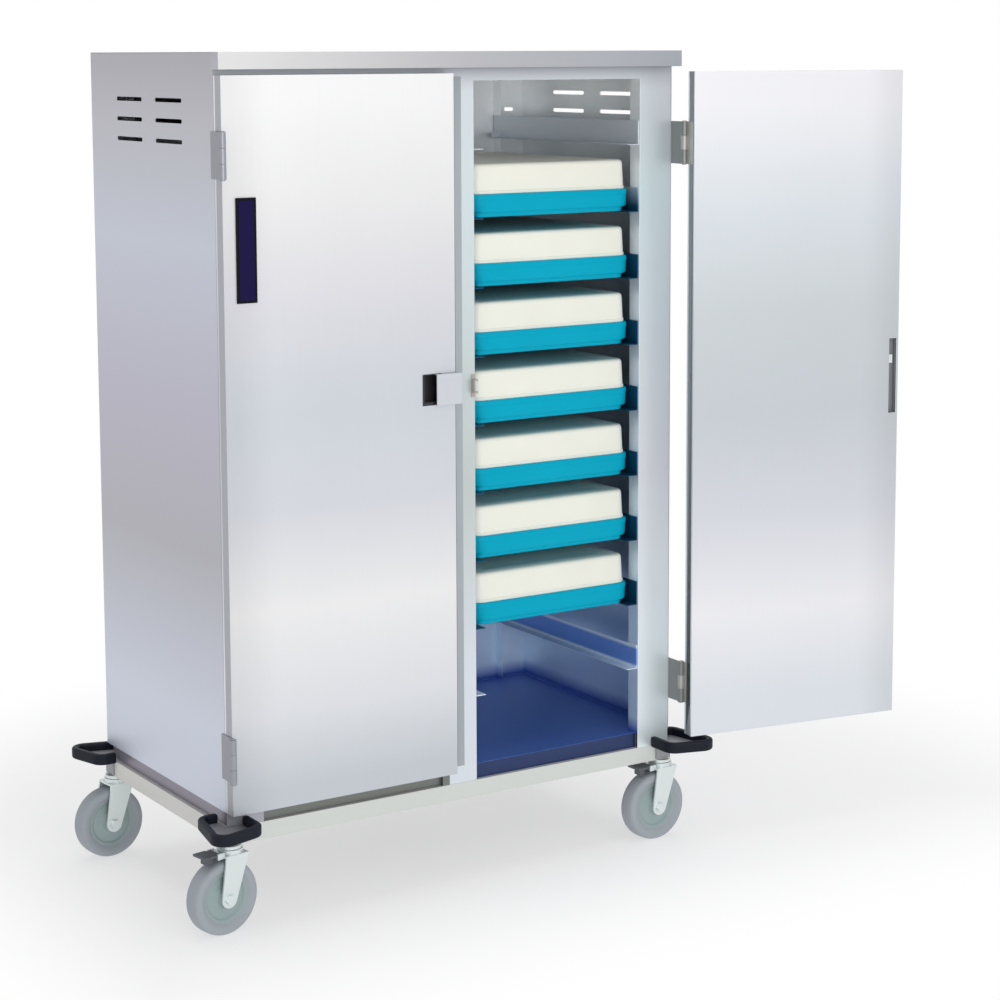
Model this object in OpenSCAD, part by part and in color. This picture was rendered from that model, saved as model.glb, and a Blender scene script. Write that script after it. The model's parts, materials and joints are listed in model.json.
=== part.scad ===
// Enclosed meal tray cart: a two-bay steel cabinet with hinged doors on four swivel casters.
// X runs across the front, Y runs from the front to the back, Z is up from the floor. Millimetres.
// The left door is drawn closed and the right door folded open.

/* [Cabinet] */
// Depth from the front posts to the back panel
cabinet_d = 488; // [480:2:560]
// Height of the side panels
cabinet_h = 1250; // [1240:5:1400]
// Thickness of the body sheet
sheet_t = 1.5; // [1:0.1:2]
// Width of each front post
post_w = 70; // [60:1:90]
// Depth of the posts' folded returns
post_return = 30; // [20:1:40]
// Height of the header rail that shows below the cap
header_h = 22; // [15:1:30]
// Depth of the header's lower fold
header_fold = 20; // [10:1:30]
// Depth of the rear uprights' folds
upright_fold = 25; // [18:1:35]

/* [Cap] */
// Height of the cap's front fascia
fascia_h = 28; // [22:1:40]
// How far the fascia runs past each side panel
fascia_over = 3; // [2:0.5:8]

/* [Vents] */
// Length of a side vent slot
vent_l = 104; // [80:1:120]
// Height of a vent slot
vent_h = 7; // [5:1:14]
// Distance between the vent rows
vent_pitch = 34; // [24:1:40]
// Distance of the highest vent row below the top of the panel
vent_top = 79; // [50:1:130]
// Distance from the front posts to the centre of the first vent column
vent_y = 170; // [140:1:180]
// Distance between the two vent columns
vent_column = 157; // [140:1:180]
// Length of a vent slot in the back panel
back_vent_l = 36; // [25:1:50]
// Distance from the bay's outer edge to a back vent's centre
back_vent_in = 60; // [50:1:90]

/* [Base] */
// Side of the square base tube
tube = 30; // [26:1:36]
// Wall of the base tube
tube_wall = 2; // [1.5:0.1:3]
// Distance between the two cross tubes, centre to centre
cross_gap = 400; // [300:5:500]
// Height of the sill between base tube and cabinet
sill_h = 27; // [20:1:40]
// How far the sill is set back from the base tube's faces
sill_inset = 8; // [5:0.5:12]
// Thickness of the floor pan's sheet
floor_t = 2; // [1.5:0.1:3]

/* [Bumpers] */
// How far a bumper stands out past the side panels and the back
bumper_out = 55; // [45:1:70]
// How far a front bumper stands out past the front posts
bumper_front = 80; // [65:1:90]
// Length of a bumper's arms, from the tube's corner
bumper_arm = 41; // [40:1:60]
// How far an arm draws in towards its end
bumper_taper = 14; // [5:1:20]
// Radius of a bumper's outer corner and of its arms' ends
bumper_r = 24; // [18:1:26]
// Thickness of the rubber strip
bumper_t = 12; // [8:1:16]
// Height of the rubber strip
bumper_h = 20; // [14:1:20]
// How far the rubber strip reaches below the corner plates
bumper_drop = 3; // [2:1:8]
// Thickness of the steel corner plates
plate_t = 3; // [2:0.5:4]

/* [Doors] */
// Thickness of a door
door_t = 26; // [24:1:32]
// Clearance between a door and the front posts
door_seat = 0.5; // [0.4:0.1:2]
// Clearance between a door and its fixed hinge leaves
door_side = 0.3; // [0.3:0.1:1]
// Clearance between a door and the cap
door_top = 9; // [6:1:14]
// Width of the centre post that shows between the doors
door_centre = 42; // [36:1:48]
// Thickness of the door skins
skin_t = 1.2; // [0.8:0.1:1.5]
// Depth of the skins' folded edges
skin_fold = 5; // [4:0.5:7]
// Width of the edge seal profile between the skins
seal_w = 12; // [8:1:16]
// Angle at which the right door stands open
open_angle = 171; // [150:1:250]

/* [Hinges] */
// Height of a hinge
hinge_h = 76; // [60:1:90]
// Height of the lower hinge above the door's lower edge
hinge_low = 58; // [40:1:120]
// Distance of the upper hinge below the door's upper edge
hinge_top = 89; // [40:1:150]
// Distance of the hinge axis from the side panel's outer face
hinge_out = 2.5; // [2.2:0.1:3]
// Distance of the hinge axis in front of the door's face
hinge_front = 9; // [8.5:0.1:12]
// Radius of the hinge knuckles
knuckle_r = 6; // [5.5:0.1:7]
// Radius of the hinge pins
pin_r = 2.5; // [2:0.1:3]
// Thickness of the hinge leaves
leaf_t = 2; // [1.5:0.1:2]
// Length of the fixed leaf on the side panel, from the front posts
leaf_fixed = 8; // [6:1:20]
// Length of the door leaf on the door's edge, from the door's face
leaf_door = 20; // [14:1:20]

/* [Latches] */
// Height of the latch centre above the door's lower edge
latch_z = 676; // [600:1:720]
// Distance of the paddle's near edge from the cabinet's centre line
paddle_x = 13; // [12:0.5:16]
// Width of the paddle
paddle_w = 50; // [46:1:54]
// Height of the paddle
paddle_h = 53; // [50:1:60]
// Thickness of the paddle's plate
paddle_t = 2.5; // [1.5:0.5:3]
// Distance of the paddle's pivot from its near edge
pivot_in = 11; // [11:0.5:14]
// Distance of the paddle's pivot in front of the door's face
pivot_front = 4.2; // [4:0.1:5]
// Radius of the pivot barrel
barrel_r = 2.7; // [2.4:0.1:2.8]
// Radius of the paddle's pivot pin
pivot_r = 1.5; // [1.2:0.1:1.6]
// Width of the black finger pocket that shows beside the paddle
pocket_show = 20; // [16:1:24]
// Height of the finger pocket
pocket_h = 46; // [40:1:46]
// Depth of the finger pocket behind the door's face
pocket_d = 12; // [8:1:12]
// Wall of the finger pocket
pocket_wall = 1.5; // [1:0.1:2]
// Length of the latch bolt
bolt_l = 36; // [30:1:40]
// Height of the latch bolt
bolt_h = 16; // [12:1:18]
// Thickness of the latch bolt
bolt_t = 5; // [4:0.5:5]
// Width of the keeper on the centre post
keeper_w = 8; // [8:0.5:9]
// Height of the keeper's base
keeper_h = 40; // [34:1:46]
// How far the keeper stands out from the centre post
keeper_d = 11; // [10:0.5:11]
// Width of the keeper slot in the door's inner side
slot_w = 15; // [15:0.5:18]
// Height of the keeper slot
slot_h = 140; // [110:1:150]
// How far the keeper slot's centre lies below the latch centre
slot_drop = 31; // [20:1:36]

/* [Plate holder] */
// Width of the dark plate holder on the left door
holder_w = 36; // [30:1:45]
// Height of the plate holder
holder_h = 170; // [140:1:190]
// Thickness of the plate holder
holder_t = 3; // [2:0.5:4]
// Distance from the door's hinge edge to the plate holder
holder_in = 22.7; // [15:0.1:40]
// Distance of the plate holder below the door's upper edge
holder_top = 195; // [150:1:240]

/* [Tray rails] */
// Number of rail levels
rail_levels = 9; // [8:1:9]
// Distance between the levels
rail_pitch = 120; // [114:1:122]
// Height of the lowest level above the floor pan
rail_first = 124; // [110:1:130]
// Height of a rail's upright flange
rail_h = 42; // [30:1:50]
// Width of a rail's support lip
rail_lip = 22; // [18:1:26]
// Thickness of the rails
rail_t = 1.5; // [1:0.1:2]
// Height of the stop tab at the rear of each rail
stop_h = 9; // [6:1:12]

/* [Meal trays] */
// Width of a tray base, which sets the width of the bays and of the cabinet
tray_w = 340; // [300:1:400]
// Clearance between a tray base and the front posts, each side
tray_side = 5; // [4:0.5:10]
// Length of a tray base
tray_l = 440; // [400:5:445]
// Height of a tray base
tray_h = 40; // [30:1:50]
// Radius of a tray base's upright corners
tray_r = 28; // [15:1:40]
// Height of a tray's foot
foot_h = 8; // [5:1:12]
// How far the foot is set in from the tray's edge
foot_in = 9; // [6:1:14]
// Height of a lid
lid_h = 52; // [40:1:60]
// How far a lid is set in from the tray's edge
lid_in = 5; // [3:1:24]
// Number of rail levels left empty under the lowest tray
empty_levels = 1; // [0:1:1]
// Distance from the front posts to the front of a tray
tray_front = 14; // [8:1:18]
// Clearance under a tray
tray_seat = 0.3; // [0.3:0.1:0.6]

/* [Casters] */
// Height from the floor to the base tube
caster_h = 150; // [146:1:165]
// Diameter of a wheel
wheel_d = 127; // [120:1:128]
// Width of a wheel's tread
wheel_w = 34; // [28:1:36]
// Radius of the tread's edges
tread_r = 5; // [3:0.5:8]
// Distance from the swivel axis to the axle
trail = 18; // [16:1:30]
// Distance from the base frame's outer faces to a swivel axis
stem_in = 11; // [11:0.5:15]
// Radius of a caster's stem
stem_r = 6; // [5:0.5:7]
// Radius of the axle bolts
axle_r = 5; // [4:0.5:6]
// Thickness of the fork's legs
fork_t = 3.5; // [2.5:0.5:4]
// Thickness of the fork's crown
crown_t = 4; // [3:0.5:4]
// Clearance between wheel and crown
crown_gap = 6; // [5.5:0.5:8]
// Width of the fork's hub end
fork_hub = 30; // [24:1:36]
// Length of the fork's crown
crown_l = 46; // [40:1:50]
// Swivel angle of the front left caster
swivel_fl = 10; // [-180:1:180]
// Swivel angle of the front right caster
swivel_fr = 3; // [-180:1:180]
// Swivel angle of the back left caster
swivel_bl = 5; // [-180:1:180]
// Swivel angle of the back right caster
swivel_br = 7; // [-180:1:180]
// Length of a brake pedal from its pivot
pedal_l = 32; // [26:1:40]
// Width of a brake pedal
pedal_w = 34; // [26:1:40]

/* [Hidden] */
CASTERS = ["front_left", "front_right", "back_left", "back_right"];
TRAYS = [1, 2, 3, 4, 5, 6, 7];

$fn = 64;
eps = 0.01;
gap = 0.3;
fit = 0.05;
cut = 1;

// Cabinet
bay_in = post_w / 2;
bay_out = bay_in + tray_w + 2 * tray_side;
half_w = bay_out + post_w;
cabinet_w = 2 * half_w;
frame_y = door_t + door_seat;
back_y = frame_y + cabinet_d;
tube_top = caster_h + tube;
body_z = tube_top + sill_h;
top_z = body_z + cabinet_h;
deck_z = top_z - sheet_t;
wall_x = half_w - sheet_t;
wall_y = back_y - sheet_t;
cap_x = half_w + fascia_over;
cap_z = top_z - fascia_h;
header_z = cap_z - header_h;
flange = 15;
VENT_ROWS = 3;
VENT_COLUMNS = 2;

// Doors, drawn closed on the right side
door_x0 = door_centre / 2;
door_x1 = half_w - door_side;
door_z0 = body_z;
door_z1 = cap_z - door_top;
seal_y0 = skin_fold;
seal_y1 = door_t - skin_fold;
pivot_x = half_w + hinge_out;
pivot_y = -hinge_front;
leaf_y0 = pivot_y + knuckle_r + gap;
hinge_zs = [body_z + hinge_low, door_z1 - hinge_top - hinge_h];
knuckle_h = (hinge_h - 2 * gap) / 3;
leaf_x1 = door_x1;
leaf_x0 = leaf_x1 - leaf_t;
pin_head = 1.5;
pin_head_in = 2;
pin_head_r = knuckle_r - pin_head_in;

// Latch, drawn on the closed right door
lz = body_z + latch_z;
paddle_up = 3.5;
paddle_z0 = lz - paddle_h / 2 + paddle_up;
paddle_x1 = paddle_x + paddle_w;
latch_x = paddle_x + pivot_in;
paddle_y1 = -pivot_front - barrel_r - gap;
paddle_y0 = paddle_y1 - paddle_t;
rim = 1;
rim_y = -2.2;
plate_y = -1;
plate_side = 0.5;
plate_rim = 1.5;
pocket_under = 13;
pocket_up = 6;
pocket_x1 = paddle_x1 + pocket_show;
pocket_x0 = paddle_x1 - pocket_under;
pocket_z0 = lz - pocket_h / 2 + pocket_up;
pocket_end = pocket_d + pocket_wall;
lug_h = 3.5;
lug_gap = 1;
lug_z0 = paddle_z0 + rim + lug_gap;
lug_z1 = paddle_z0 + paddle_h - rim - lug_gap;
barrel_gap = 0.5;
keeper_x1 = bay_in;
keeper_x0 = keeper_x1 - keeper_w;
keeper_y0 = frame_y - keeper_d;
keeper_wall = 1.5;
ear_t = 3;
bolt_gap = 1.5;
bolt_x0 = keeper_x0 + keeper_wall + bolt_gap;
bolt_y0 = keeper_y0;
bolt_z0 = lz - bolt_h / 2;
bolt_clear = 1;
slot_gap = 1.5;
slot_x0 = keeper_x0 - slot_gap;
slot_x1 = slot_x0 + slot_w;
slot_y = keeper_y0 - slot_gap;
slot_z0 = lz - slot_drop - slot_h / 2;
guide_gap = 2;
guide_lap = 4;
guide_x0 = slot_x1 + guide_gap;
guide_x1 = pocket_x0 + guide_lap;
guide_wall = 3;

// Rails and trays
rail_front = 2;
rail_end = 0.5;
stop_gap = 4;
rail_y0 = frame_y + sheet_t + rail_front;
rail_y1 = wall_y - sheet_t - rail_end;
stop_y = frame_y + tray_front + tray_l + stop_gap;
bay_mid = (bay_in + bay_out) / 2;

// Casters
wheel_r = wheel_d / 2;
crown_z = wheel_d + crown_gap;
crown_top = crown_z + crown_t;
race_top = caster_h;
race_h = 6;
race_z = race_top - race_h;
housing_r = 22;
race_r = 20;
leg_gap = 2.5;
leg_in = wheel_w / 2 + leg_gap;
leg_out = leg_in + fork_t;
hub_half = leg_in - gap;
stem_x = half_w - stem_in;
stem_front = frame_y + stem_in;
stem_back = back_y - stem_in;
stem_head = 3;
stem_head_r = stem_r + stem_head;
stem_head_t = 3.5;
nut_gap = 0.5;
nut_r = stem_in - tube_wall - nut_gap;
nut_h = 10;
stem_up = 16;
hub_wall = 12;
web_t = 14;
rim_t = 15;
axle_head_out = 4;
axle_head_r = axle_r + axle_head_out;
axle_head = 5;
pedal_out = 8;
pedal_up = 1;
pedal_x = -crown_l / 2 - pedal_out;
pedal_z = crown_top + pedal_up;
pedal_pin = 2.5;
pedal_hub = 4.5;
pedal_gap = 0.5;
neck_l = 8;
shoe_x = 11;
shoe_l = 12;
shoe_w = 16;
shoe_h = 12;
arm_in = 4;
arm_t = 3.5;
arm_end = 5;
arm_y0 = pedal_w / 2 - arm_in;
arm_y1 = arm_y0 + arm_t;
PIVOTS = [[-stem_x, stem_front, swivel_fl], [stem_x, stem_front, swivel_fr],
          [-stem_x, stem_back, swivel_bl], [stem_x, stem_back, swivel_br]];

// Origin: centre of the whole outline as drawn, on the floor
function turned(x, y, a) = [pivot_x + (x - pivot_x) * cos(a) - (y - pivot_y) * sin(a),
                            pivot_y + (x - pivot_x) * sin(a) + (y - pivot_y) * cos(a)];
open_corners = [turned(door_x0, 0, open_angle), turned(door_x0, door_t, open_angle),
                turned(paddle_x, paddle_y0, open_angle), turned(paddle_x, paddle_y1, open_angle)];
function wheel_reach(a) = abs(cos(a)) * (wheel_r - tread_r) + abs(sin(a)) * (wheel_w / 2 - tread_r)
    + tread_r;
wheel_lefts = [for (p = PIVOTS) p[0] - trail * cos(p[2]) - wheel_reach(p[2])];
min_x = min(concat(wheel_lefts, [-half_w - bumper_out]));
max_x = max(concat([for (c = open_corners) c[0]], [half_w + bumper_out]));
min_y = min(concat([for (c = open_corners) c[1]], [frame_y - bumper_front]));
max_y = max(back_y + bumper_out, max([for (c = open_corners) c[1]]));
origin_x = (min_x + max_x) / 2;
origin_y = (min_y + max_y) / 2;

steel = [0.80, 0.81, 0.83];
dark_steel = [0.55, 0.57, 0.60];
black = [0.10, 0.10, 0.14];
zinc = [0.78, 0.83, 0.84];

// ---- helpers ----

// A block between two corners
module block(x, y, z) {
    translate([x[0], y[0], z[0]]) cube([x[1] - x[0], y[1] - y[0], z[1] - z[0]]);
}

// The children and their mirror image in the cabinet's middle plane
module both_sides() {
    children();
    mirror([1, 0, 0]) children();
}

// A round slot in the XZ plane, cut along Y from y0 to y1
module round_slot(x, z, l, h, y0, y1) {
    translate([0, y1, 0]) rotate([90, 0, 0]) linear_extrude(y1 - y0) {
        translate([x - (l - h) / 2, z - h / 2]) square([l - h, h]);
        for (s = [-1, 1]) translate([x + s * (l - h) / 2, z]) circle(d = h);
    }
}

// A rectangle with round corners, centred
module round_rect(w, l, r) {
    square([w - 2 * r, l], center = true);
    square([w, l - 2 * r], center = true);
    for (sx = [-1, 1], sy = [-1, 1]) translate([sx * (w / 2 - r), sy * (l / 2 - r)]) circle(r);
}

// Moves the model so that its origin is under the middle of its outline
module place() {
    translate([-origin_x, -origin_y, 0]) children();
}

// ---- body ----

module tube_plan(inset) {
    difference() {
        translate([-half_w + inset, frame_y + inset])
            square([cabinet_w - 2 * inset, cabinet_d - 2 * inset]);
        translate([-half_w + tube - inset, frame_y + tube - inset])
            square([cabinet_w - 2 * (tube - inset), cabinet_d - 2 * (tube - inset)]);
    }
    for (s = [-1, 1])
        translate([s * cross_gap / 2 - tube / 2 + inset, frame_y + inset])
            square([tube - 2 * inset, cabinet_d - 2 * inset]);
}

module base_frame() {
    color(dark_steel) place() difference() {
        translate([0, 0, caster_h]) linear_extrude(tube) tube_plan(0);
        translate([0, 0, caster_h + tube_wall]) linear_extrude(tube - 2 * tube_wall) tube_plan(tube_wall);
        for (p = PIVOTS)
            translate([p[0], p[1], caster_h - cut]) cylinder(r = stem_r + fit, h = tube_wall + 2 * cut);
    }
}

module floor_pan() {
    x = half_w - sill_inset;
    y0 = frame_y + sill_inset;
    y1 = back_y - sill_inset;
    color(dark_steel) place() difference() {
        block([-x, x], [y0, y1], [tube_top, body_z]);
        block([floor_t - x, x - floor_t], [y0 + floor_t, y1 - floor_t],
              [tube_top - cut, body_z - floor_t]);
    }
}

// Height of a vent row, counted from the top
function vent_z(row) = top_z - vent_top - row * vent_pitch;

module side_panel() {
    difference() {
        union() {
            block([wall_x, half_w], [frame_y, back_y], [body_z, deck_z]);
            block([wall_x - flange, wall_x], [frame_y + sheet_t, wall_y], [body_z, body_z + sheet_t]);
        }
        for (row = [0:VENT_ROWS - 1], col = [0:VENT_COLUMNS - 1])
            translate([half_w, 0, 0]) rotate([0, 0, 90])
                round_slot(frame_y + vent_y + col * vent_column, vent_z(row),
                           vent_l, vent_h, -cut, sheet_t + cut);
    }
}

module left_side_panel() {
    color(steel) place() mirror([1, 0, 0]) side_panel();
}

module right_side_panel() {
    color(steel) place() side_panel();
}

module back_panel() {
    vent_x = half_w - back_vent_in + back_vent_l / 2;
    color(steel) place() difference() {
        union() {
            block([-wall_x, wall_x], [wall_y, back_y], [body_z, deck_z]);
            block([flange - wall_x, wall_x - flange], [wall_y - flange, wall_y],
                  [body_z, body_z + sheet_t]);
        }
        for (s = [-1, 1])
            round_slot(s * vent_x, vent_z(floor(VENT_ROWS / 2)), back_vent_l, vent_h,
                       wall_y - cut, back_y + cut);
    }
}

module top_cap() {
    color(steel) place() difference() {
        union() {
            block([-cap_x, cap_x], [0, frame_y], [cap_z, top_z]);
            block([-half_w, half_w], [0, back_y], [deck_z, top_z]);
        }
        block([-cap_x + sheet_t, cap_x - sheet_t], [sheet_t, frame_y + cut], [cap_z + sheet_t, deck_z]);
    }
}

// The partition is notched over the back panel's lower flange
module centre_partition() {
    color(steel) place() difference() {
        block([-sheet_t / 2, sheet_t / 2], [frame_y + sheet_t, wall_y - sheet_t], [body_z, deck_z]);
        block([-sheet_t, sheet_t], [wall_y - flange - gap, wall_y], [body_z - cut, body_z + sheet_t]);
    }
}

// One folded front post between x0 and x1, with a return at each place in returns
module post(x0, x1, returns) {
    block([x0, x1], [frame_y, frame_y + sheet_t], [tube_top, deck_z]);
    for (x = returns)
        block([x, x + sheet_t], [frame_y, frame_y + post_return], [body_z, deck_z]);
}

module front_frame() {
    color(steel) place() {
        both_sides() post(bay_out, wall_x, [bay_out]);
        difference() {
            post(-bay_in, bay_in, [-bay_in, bay_in - sheet_t]);
            block([-sheet_t / 2, sheet_t / 2], [frame_y + sheet_t, back_y], [body_z, deck_z]);
        }
        both_sides() {
            block([bay_in, bay_out], [frame_y, frame_y + sheet_t], [header_z, deck_z]);
            block([bay_in, bay_out], [frame_y, frame_y + header_fold], [header_z, header_z + sheet_t]);
        }
    }
}

module rear_uprights() {
    y0 = wall_y - upright_fold;
    z0 = body_z + sheet_t;
    color(steel) place() {
        both_sides() {
            block([bay_out, bay_out + sheet_t], [y0, wall_y], [z0, deck_z]);
            block([bay_out, bay_out + upright_fold], [wall_y - sheet_t, wall_y], [z0, deck_z]);
        }
        for (s = [-1, 1])
            block([s * (bay_in - sheet_t / 2) - sheet_t / 2, s * (bay_in - sheet_t / 2) + sheet_t / 2],
                  [y0, wall_y], [z0, deck_z]);
        block([-bay_in, bay_in], [wall_y - sheet_t, wall_y], [z0, deck_z]);
    }
}

// An angle rail whose back is at x, with its lip towards side s and its support plane at z
module rail(x, s, z) {
    back = s > 0 ? [x, x + rail_t] : [x - rail_t, x];
    lip = s > 0 ? [x, x + rail_lip] : [x - rail_lip, x];
    block(back, [rail_y0, rail_y1], [z - rail_t, z + rail_h]);
    block(lip, [rail_y0, stop_y + rail_t], [z - rail_t, z]);
    block(lip, [stop_y, stop_y + rail_t], [z - rail_t, z + stop_h]);
}

module bay_rails() {
    for (i = [0:rail_levels - 1]) {
        z = body_z + rail_first + i * rail_pitch;
        rail(bay_in, 1, z);
        rail(bay_out, -1, z);
    }
}

module left_bay_rails() {
    color(steel) place() mirror([1, 0, 0]) bay_rails();
}

module right_bay_rails() {
    color(steel) place() bay_rails();
}

// ---- corners ----

// Point beside p, at r to the left of the way from p to q
function beside(p, q, r) = p + r * [p[1] - q[1], q[0] - p[0]] / norm(q - p);

// Plan of a corner piece that stands out by u and v; every outer edge lies inset behind the outline
module corner_plan(u, v, inset) {
    end = bumper_arm - inset;
    r = bumper_r - inset;
    nose = [u - bumper_r, v - bumper_r];
    front_end = [bumper_r - bumper_arm, nose[1] - bumper_taper];
    side_end = [nose[0] - bumper_taper, bumper_r - bumper_arm];
    for (p = [nose, front_end, side_end]) translate(p) circle(r);
    polygon([[-end, -end], [-end, front_end[1]], beside(front_end, nose, r), beside(nose, front_end, -r),
             beside(nose, side_end, r), beside(side_end, nose, -r), [side_end[0], -end]]);
}

// Room of the base tube's corner in a corner piece's plan
module tube_room(length) {
    translate([-length - cut, -length - cut]) square(length + cut);
}

// Places the first child at the two back corners and the second at the two front corners
module at_corners() {
    both_sides() {
        translate([half_w, back_y, 0]) children(0);
        translate([half_w, frame_y, 0]) mirror([0, 1, 0]) children(1);
    }
}

module bumper(v) {
    translate([0, 0, tube_top - bumper_drop]) linear_extrude(bumper_h) difference() {
        corner_plan(bumper_out, v, 0);
        corner_plan(bumper_out, v, bumper_t);
        tube_room(bumper_arm);
    }
}

module corner_plate(v) {
    length = bumper_arm - bumper_t;
    translate([0, 0, tube_top]) linear_extrude(plate_t) difference() {
        corner_plan(bumper_out, v, bumper_t);
        tube_room(bumper_arm);
    }
    translate([0, 0, caster_h + tube_wall]) linear_extrude(tube_top - caster_h - tube_wall) difference() {
        translate([-length, -length]) square(length + plate_t);
        tube_room(length);
    }
}

module corner_bumpers() {
    color(black) place() at_corners() {
        bumper(bumper_out);
        bumper(bumper_front);
    }
}

module corner_plates() {
    color(dark_steel) place() at_corners() {
        corner_plate(bumper_out);
        corner_plate(bumper_front);
    }
}

// ---- hinges ----

module knuckle(z, h) {
    translate([pivot_x, pivot_y, z]) cylinder(r = knuckle_r, h = h);
}

module pin_bore(z) {
    translate([pivot_x, pivot_y, z - cut]) cylinder(r = pin_r + fit, h = hinge_h + 2 * cut);
}

module hinge_fixed(z) {
    difference() {
        union() {
            block([half_w, half_w + leaf_t], [leaf_y0, frame_y + leaf_fixed], [z, z + hinge_h]);
            for (dz = [0, 2 * (knuckle_h + gap)]) {
                block([half_w, half_w + leaf_t], [pivot_y, leaf_y0], [z + dz, z + dz + knuckle_h]);
                knuckle(z + dz, knuckle_h);
            }
        }
        pin_bore(z);
    }
}

module hinge_moving(z) {
    mid = z + knuckle_h + gap;
    difference() {
        union() {
            block([leaf_x0, leaf_x1], [leaf_y0, leaf_door], [z, z + hinge_h]);
            block([leaf_x0, leaf_x1], [pivot_y, leaf_y0], [mid, mid + knuckle_h]);
            knuckle(mid, knuckle_h);
        }
        pin_bore(z);
    }
}

module hinge_frame_leaves() {
    color(steel) place() both_sides() for (z = hinge_zs) hinge_fixed(z);
}

module hinge_pins() {
    color(zinc) place() both_sides() for (z = hinge_zs) translate([pivot_x, pivot_y, z]) {
        cylinder(r = pin_r, h = hinge_h);
        translate([0, 0, hinge_h]) cylinder(r = pin_head_r, h = pin_head);
        translate([0, 0, -pin_head]) cylinder(r = pin_head_r, h = pin_head);
    }
}

// ---- doors, as closed on the right ----

module leaf_recess() {
    for (z = hinge_zs)
        block([leaf_x0, door_x1 + cut], [-cut, leaf_door], [z, z + hinge_h]);
}

module keeper_slot() {
    block([slot_x0, slot_x1], [slot_y, door_t + cut], [slot_z0, slot_z0 + slot_h]);
}

module door_skin() {
    difference() {
        block([door_x0, door_x1], [0, skin_fold], [door_z0, door_z1]);
        block([door_x0 + skin_t, door_x1 - skin_t], [skin_t, skin_fold + cut],
              [door_z0 + skin_t, door_z1 - skin_t]);
        block([pocket_x0 - pocket_wall, pocket_x1 + pocket_wall], [-cut, skin_fold],
              [pocket_z0 - pocket_wall, pocket_z0 + pocket_h + pocket_wall]);
        leaf_recess();
    }
}

module door_liner() {
    difference() {
        block([door_x0, door_x1], [seal_y1, door_t], [door_z0, door_z1]);
        block([door_x0 + skin_t, door_x1 - skin_t], [seal_y1 - cut, door_t - skin_t],
              [door_z0 + skin_t, door_z1 - skin_t]);
        keeper_slot();
    }
}

module door_seal() {
    difference() {
        block([door_x0, door_x1], [seal_y0, seal_y1], [door_z0, door_z1]);
        block([door_x0 + seal_w, door_x1 - seal_w], [seal_y0 - cut, seal_y1 + cut],
              [door_z0 + seal_w, door_z1 - seal_w]);
        keeper_slot();
        leaf_recess();
    }
}

module door_leaves() {
    for (z = hinge_zs) hinge_moving(z);
}

module latch_housing() {
    difference() {
        union() {
            block([door_x0 + plate_side, pocket_x1 + pocket_wall + plate_rim], [plate_y, 0],
                  [paddle_z0, paddle_z0 + paddle_h]);
            block([pocket_x0 - pocket_wall, pocket_x1 + pocket_wall], [plate_y, pocket_end],
                  [pocket_z0 - pocket_wall, pocket_z0 + pocket_h + pocket_wall]);
            block([guide_x0, guide_x1], [pocket_end - pocket_wall, bolt_y0 + bolt_t + guide_wall],
                  [bolt_z0 - guide_wall - gap, bolt_z0 + bolt_h + guide_wall + gap]);
        }
        block([pocket_x0, pocket_x1], [plate_y - cut, pocket_d], [pocket_z0, pocket_z0 + pocket_h]);
        block([guide_x0 - cut, guide_x1 + cut], [bolt_y0 - gap, bolt_y0 + bolt_t + gap],
              [bolt_z0 - gap, bolt_z0 + bolt_h + gap]);
    }
    for (z = [lug_z0, lug_z1 - lug_h]) {
        translate([latch_x, -pivot_front, z]) cylinder(r = barrel_r, h = lug_h);
        block([latch_x - barrel_r, latch_x + barrel_r], [-pivot_front, plate_y], [z, z + lug_h]);
    }
    translate([latch_x, -pivot_front, lug_z0]) cylinder(r = pivot_r, h = lug_z1 - lug_z0);
}

module latch_paddle() {
    z0 = lug_z0 + lug_h + barrel_gap;
    z1 = lug_z1 - lug_h - barrel_gap;
    difference() {
        union() {
            block([paddle_x, paddle_x1], [paddle_y0, paddle_y1], [paddle_z0, paddle_z0 + paddle_h]);
            for (z = [paddle_z0, paddle_z0 + paddle_h - rim])
                block([latch_x, paddle_x1], [paddle_y1, rim_y], [z, z + rim]);
            translate([latch_x, -pivot_front, z0]) cylinder(r = barrel_r, h = z1 - z0);
            block([latch_x - barrel_r, latch_x + barrel_r], [paddle_y1, -pivot_front], [z0, z1]);
        }
        translate([latch_x, -pivot_front, z0 - cut]) cylinder(r = pivot_r + fit, h = z1 - z0 + 2 * cut);
    }
}

module latch_bolt() {
    block([bolt_x0, bolt_x0 + bolt_l], [bolt_y0, bolt_y0 + bolt_t], [bolt_z0, bolt_z0 + bolt_h]);
}

// Keeper on the centre post, open to the front
module latch_keeper() {
    ear_z = bolt_h / 2 + bolt_clear;
    block([keeper_x0, keeper_x1], [frame_y - keeper_wall, frame_y], [lz - keeper_h / 2, lz + keeper_h / 2]);
    block([keeper_x0, keeper_x0 + keeper_wall], [keeper_y0, frame_y], [lz - ear_z, lz + ear_z]);
    for (s = [-1, 1]) {
        z = lz + s * (ear_z + ear_t / 2);
        block([keeper_x0, keeper_x1], [keeper_y0, frame_y], [z - ear_t / 2, z + ear_t / 2]);
    }
}

module latch_keepers() {
    color(dark_steel) place() both_sides() latch_keeper();
}

// The left door is closed, the right door is turned open about its hinge axis
module on_left() {
    place() mirror([1, 0, 0]) children();
}

module on_right() {
    place() translate([pivot_x, pivot_y, 0]) rotate([0, 0, open_angle])
        translate([-pivot_x, -pivot_y, 0]) children();
}

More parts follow.
